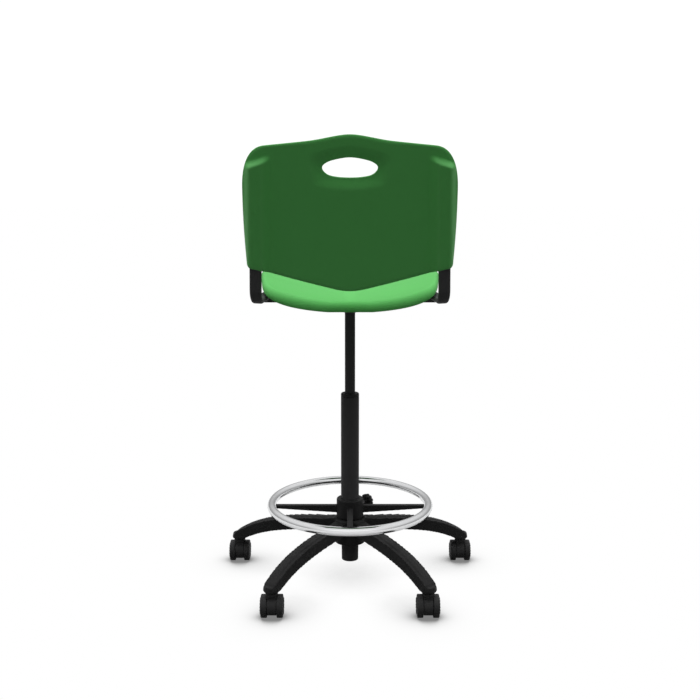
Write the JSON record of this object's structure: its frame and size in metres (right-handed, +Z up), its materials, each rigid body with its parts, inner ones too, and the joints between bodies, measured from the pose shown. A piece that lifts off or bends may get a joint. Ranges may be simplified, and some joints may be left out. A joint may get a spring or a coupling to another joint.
{
  "type": "drafting chair",
  "caption": "Swivel drafting chair: moulded seat and back on a bent tube frame, tall gas lift with a foot ring, star base on twin-wheel casters.",
  "frame": {"origin": "on the floor under the middle of the gas lift", "axes": "+Z up along the gas lift; the sitter faces -Y; +X is to the sitter's left"},
  "size_m": [0.7088, 0.6751, 1.2101],
  "materials": {
    "seat_plastic": "fine-grained moulded polypropylene, semi-gloss",
    "back_plastic": "fine-grained moulded polypropylene",
    "ring_chrome": "bright chrome plate",
    "bright_steel": "ground steel",
    "fastener_steel": "blackened steel",
    "black_enamel": "black powder coat",
    "black_nylon": "glass-filled nylon",
    "wheel_nylon": "hard nylon",
    "rubber": "moulded rubber"
  },
  "bodies": {
    "base": {"star_base": "black_nylon", "column_tube": "black_enamel", "guide_bush": "black_nylon", "bearing_seat": "bright_steel"},
    "rod": {"piston_rod": "bright_steel", "piston": "bright_steel", "bearing_balls": "bright_steel", "bearing_race": "bright_steel", "rod_bumper": "rubber", "rod_clip": "bright_steel"},
    "seat": {"pressure_tube": "black_enamel", "rod_seal": "rubber", "taper_socket": "black_enamel", "mechanism_housing": "black_enamel", "mechanism_plate": "black_enamel", "lever_pivot_pin": "bright_steel", "mechanism_bolts": "fastener_steel", "front_cross_bar": "black_enamel", "rear_cross_bar": "black_enamel", "left_frame_tube": "black_enamel", "right_frame_tube": "black_enamel", "frame_end_caps": "black_nylon", "seat_shell": "seat_plastic", "seat_screws": "fastener_steel", "back_shell": "back_plastic", "back_screws": "back_plastic"},
    "button": {"release_button": "bright_steel"},
    "lever": {"release_lever": "black_enamel", "lever_grip": "black_nylon"},
    "ring_bush": {"foot_ring_bush": "black_nylon"},
    "foot_ring": {"foot_ring_hub": "black_nylon", "foot_ring": "ring_chrome", "ring_pins": "bright_steel"},
    "knob": {"clamp_knob": "black_nylon", "clamp_stud": "bright_steel"},
    "caster_1": {"caster_1_hood": "black_nylon", "caster_1_stem": "bright_steel", "caster_1_axle": "bright_steel"},
    "caster_1_left": {"caster_1_left_wheel": "wheel_nylon"},
    "caster_1_right": {"caster_1_right_wheel": "wheel_nylon"},
    "caster_2": {"caster_2_hood": "black_nylon", "caster_2_stem": "bright_steel", "caster_2_axle": "bright_steel"},
    "caster_2_left": {"caster_2_left_wheel": "wheel_nylon"},
    "caster_2_right": {"caster_2_right_wheel": "wheel_nylon"},
    "caster_3": {"caster_3_hood": "black_nylon", "caster_3_stem": "bright_steel", "caster_3_axle": "bright_steel"},
    "caster_3_left": {"caster_3_left_wheel": "wheel_nylon"},
    "caster_3_right": {"caster_3_right_wheel": "wheel_nylon"},
    "caster_4": {"caster_4_hood": "black_nylon", "caster_4_stem": "bright_steel", "caster_4_axle": "bright_steel"},
    "caster_4_left": {"caster_4_left_wheel": "wheel_nylon"},
    "caster_4_right": {"caster_4_right_wheel": "wheel_nylon"},
    "caster_5": {"caster_5_hood": "black_nylon", "caster_5_stem": "bright_steel", "caster_5_axle": "bright_steel"},
    "caster_5_left": {"caster_5_left_wheel": "wheel_nylon"},
    "caster_5_right": {"caster_5_right_wheel": "wheel_nylon"}
  },
  "joints": [
    {"name": "seat_swivel", "type": "hinge", "parent": "base", "child": "rod", "pos_m": [0, 0, 0.06], "axis": [0, 0, 1], "continuous": true},
    {"name": "seat_height", "type": "slide", "parent": "rod", "child": "seat", "axis": [0, 0, 1], "range_m": [-0.21, 0]},
    {"name": "lever_lift", "type": "hinge", "parent": "seat", "child": "lever", "pos_m": [-0.03, 0, 0.789], "axis": [0, 1, 0], "range_deg": [0, 4.5], "stiffness_Nm_per_rad": 3, "springref_deg": -6.88},
    {"name": "button_press", "type": "slide", "parent": "seat", "child": "button", "axis": [0, 0, -1], "range_m": [0, 0.0024], "stiffness_N_per_m": 800, "springref_m": -0.002},
    {"name": "ring_height", "type": "slide", "parent": "base", "child": "ring_bush", "axis": [0, 0, 1], "range_m": [0, 0.28]},
    {"name": "ring_turn", "type": "hinge", "parent": "ring_bush", "child": "foot_ring", "pos_m": [0, 0, 0.2], "axis": [0, 0, 1], "continuous": true},
    {"name": "knob_screw", "type": "hinge", "parent": "foot_ring", "child": "knob", "pos_m": [0, 0, 0.202], "axis": [-0.7071, -0.7071, 0], "range_deg": [-720, 0]},
    {"name": "caster_1_swivel", "type": "hinge", "parent": "base", "child": "caster_1", "pos_m": [0, -0.34, 0.07], "axis": [0, 0, 1], "continuous": true},
    {"name": "caster_1_left_roll", "type": "hinge", "parent": "caster_1", "child": "caster_1_left", "pos_m": [0, -0.344, 0.03], "axis": [1, 0, 0], "continuous": true},
    {"name": "caster_1_right_roll", "type": "hinge", "parent": "caster_1", "child": "caster_1_right", "pos_m": [0, -0.344, 0.03], "axis": [1, 0, 0], "continuous": true},
    {"name": "caster_2_swivel", "type": "hinge", "parent": "base", "child": "caster_2", "pos_m": [0.32336, -0.10507, 0.07], "axis": [0, 0, 1], "continuous": true},
    {"name": "caster_2_left_roll", "type": "hinge", "parent": "caster_2", "child": "caster_2_left", "pos_m": [0.32336, -0.10907, 0.03], "axis": [1, 0, 0], "continuous": true},
    {"name": "caster_2_right_roll", "type": "hinge", "parent": "caster_2", "child": "caster_2_right", "pos_m": [0.32336, -0.10907, 0.03], "axis": [1, 0, 0], "continuous": true},
    {"name": "caster_3_swivel", "type": "hinge", "parent": "base", "child": "caster_3", "pos_m": [0.19985, 0.27507, 0.07], "axis": [0, 0, 1], "continuous": true},
    {"name": "caster_3_left_roll", "type": "hinge", "parent": "caster_3", "child": "caster_3_left", "pos_m": [0.19985, 0.27107, 0.03], "axis": [1, 0, 0], "continuous": true},
    {"name": "caster_3_right_roll", "type": "hinge", "parent": "caster_3", "child": "caster_3_right", "pos_m": [0.19985, 0.27107, 0.03], "axis": [1, 0, 0], "continuous": true},
    {"name": "caster_4_swivel", "type": "hinge", "parent": "base", "child": "caster_4", "pos_m": [-0.19985, 0.27507, 0.07], "axis": [0, 0, 1], "continuous": true},
    {"name": "caster_4_left_roll", "type": "hinge", "parent": "caster_4", "child": "caster_4_left", "pos_m": [-0.19985, 0.27107, 0.03], "axis": [1, 0, 0], "continuous": true},
    {"name": "caster_4_right_roll", "type": "hinge", "parent": "caster_4", "child": "caster_4_right", "pos_m": [-0.19985, 0.27107, 0.03], "axis": [1, 0, 0], "continuous": true},
    {"name": "caster_5_swivel", "type": "hinge", "parent": "base", "child": "caster_5", "pos_m": [-0.32336, -0.10507, 0.07], "axis": [0, 0, 1], "continuous": true},
    {"name": "caster_5_left_roll", "type": "hinge", "parent": "caster_5", "child": "caster_5_left", "pos_m": [-0.32336, -0.10907, 0.03], "axis": [1, 0, 0], "continuous": true},
    {"name": "caster_5_right_roll", "type": "hinge", "parent": "caster_5", "child": "caster_5_right", "pos_m": [-0.32336, -0.10907, 0.03], "axis": [1, 0, 0], "continuous": true}
  ],
  "couplings": [
    {"joint": "button_press", "follows": "lever_lift", "m_per_rad": 0.03}
  ]
}
